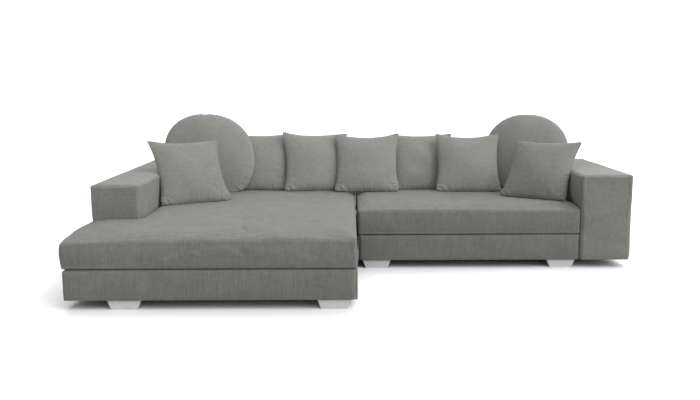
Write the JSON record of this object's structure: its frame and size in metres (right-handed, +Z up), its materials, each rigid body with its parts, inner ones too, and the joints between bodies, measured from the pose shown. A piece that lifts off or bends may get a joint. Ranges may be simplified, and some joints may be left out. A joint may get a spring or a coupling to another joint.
{
  "type": "l-shaped sofa",
  "caption": "Grey corner sofa with a deep chaise, boxed seat cushions, block arms, wedge feet and loose round and square pillows that lift off.",
  "frame": {"origin": "on the floor, under the middle of the whole sofa's bounding box", "axes": "+X to the right as seen by somebody standing in front, towards the high right arm; the front faces -Y, so the backs are at +Y; +Z up"},
  "size_m": [3.61, 2.2, 1.0413],
  "materials": {
    "upholstery": "finely woven matt cloth, warm grey",
    "pillow_cloth": "finely woven matt cloth, warm grey",
    "foam": "cut foam",
    "timber": "planed softwood and board",
    "belt_cloth": "elastic belt",
    "dust_cloth": "thin felted cloth",
    "silver_plastic": "silver lacquer, satin",
    "zinc_steel": "zinc plated"
  },
  "bodies": {
    "sofa": {"chaise_frame": "timber", "chaise_belts": "belt_cloth", "chaise_base_cover": "upholstery", "chaise_dust_cover": "dust_cloth", "chaise_feet": "silver_plastic", "chaise_foot_bolts": "zinc_steel", "chaise_seat_core": "foam", "chaise_seat_cushion": "upholstery", "chaise_back_frame": "timber", "chaise_back_cover": "upholstery", "left_arm_frame": "timber", "left_arm_cover": "upholstery", "sofa_frame": "timber", "sofa_belts": "belt_cloth", "sofa_base_cover": "upholstery", "sofa_dust_cover": "dust_cloth", "sofa_feet": "silver_plastic", "sofa_foot_bolts": "zinc_steel", "sofa_seat_core": "foam", "sofa_seat_cushion": "upholstery", "sofa_back_frame": "timber", "sofa_back_cover": "upholstery", "right_arm_frame": "timber", "right_arm_cover": "upholstery", "arm_bolts": "zinc_steel", "module_hooks": "zinc_steel", "module_catches": "zinc_steel"},
    "round_left": {"round_pillow_left": "pillow_cloth"},
    "round_right": {"round_pillow_right": "pillow_cloth"},
    "back_1": {"back_pillow_1": "pillow_cloth"},
    "back_2": {"back_pillow_2": "pillow_cloth"},
    "back_3": {"back_pillow_3": "pillow_cloth"},
    "back_4": {"back_pillow_4": "pillow_cloth"},
    "back_5": {"back_pillow_5": "pillow_cloth"},
    "corner_left": {"corner_pillow_left": "pillow_cloth"},
    "corner_right": {"corner_pillow_right": "pillow_cloth"}
  },
  "joints": [
    {"name": "round_left_lift", "type": "slide", "parent": "sofa", "child": "round_left", "axis": [0, 0.3256, 0.9455], "range_m": [0, 0.5]},
    {"name": "round_right_lift", "type": "slide", "parent": "sofa", "child": "round_right", "axis": [0, 0.3256, 0.9455], "range_m": [0, 0.5]},
    {"name": "back_1_lift", "type": "slide", "parent": "sofa", "child": "back_1", "axis": [0.0169, 0.4845, 0.8746], "range_m": [0, 0.5]},
    {"name": "back_2_lift", "type": "slide", "parent": "sofa", "child": "back_2", "axis": [-0.0423, 0.483, 0.8746], "range_m": [0, 0.5]},
    {"name": "back_3_lift", "type": "slide", "parent": "sofa", "child": "back_3", "axis": [0.0085, 0.4847, 0.8746], "range_m": [0, 0.5]},
    {"name": "back_4_lift", "type": "slide", "parent": "sofa", "child": "back_4", "axis": [-0.0085, 0.4847, 0.8746], "range_m": [0, 0.5]},
    {"name": "back_5_lift", "type": "slide", "parent": "sofa", "child": "back_5", "axis": [0.017, 0.3251, 0.9455], "range_m": [0, 0.5]},
    {"name": "corner_left_lift", "type": "slide", "parent": "sofa", "child": "corner_left", "axis": [0, 0, 1], "range_m": [0, 0.5]},
    {"name": "corner_right_lift", "type": "slide", "parent": "sofa", "child": "corner_right", "axis": [0, 0, 1], "range_m": [0, 0.5]}
  ]
}
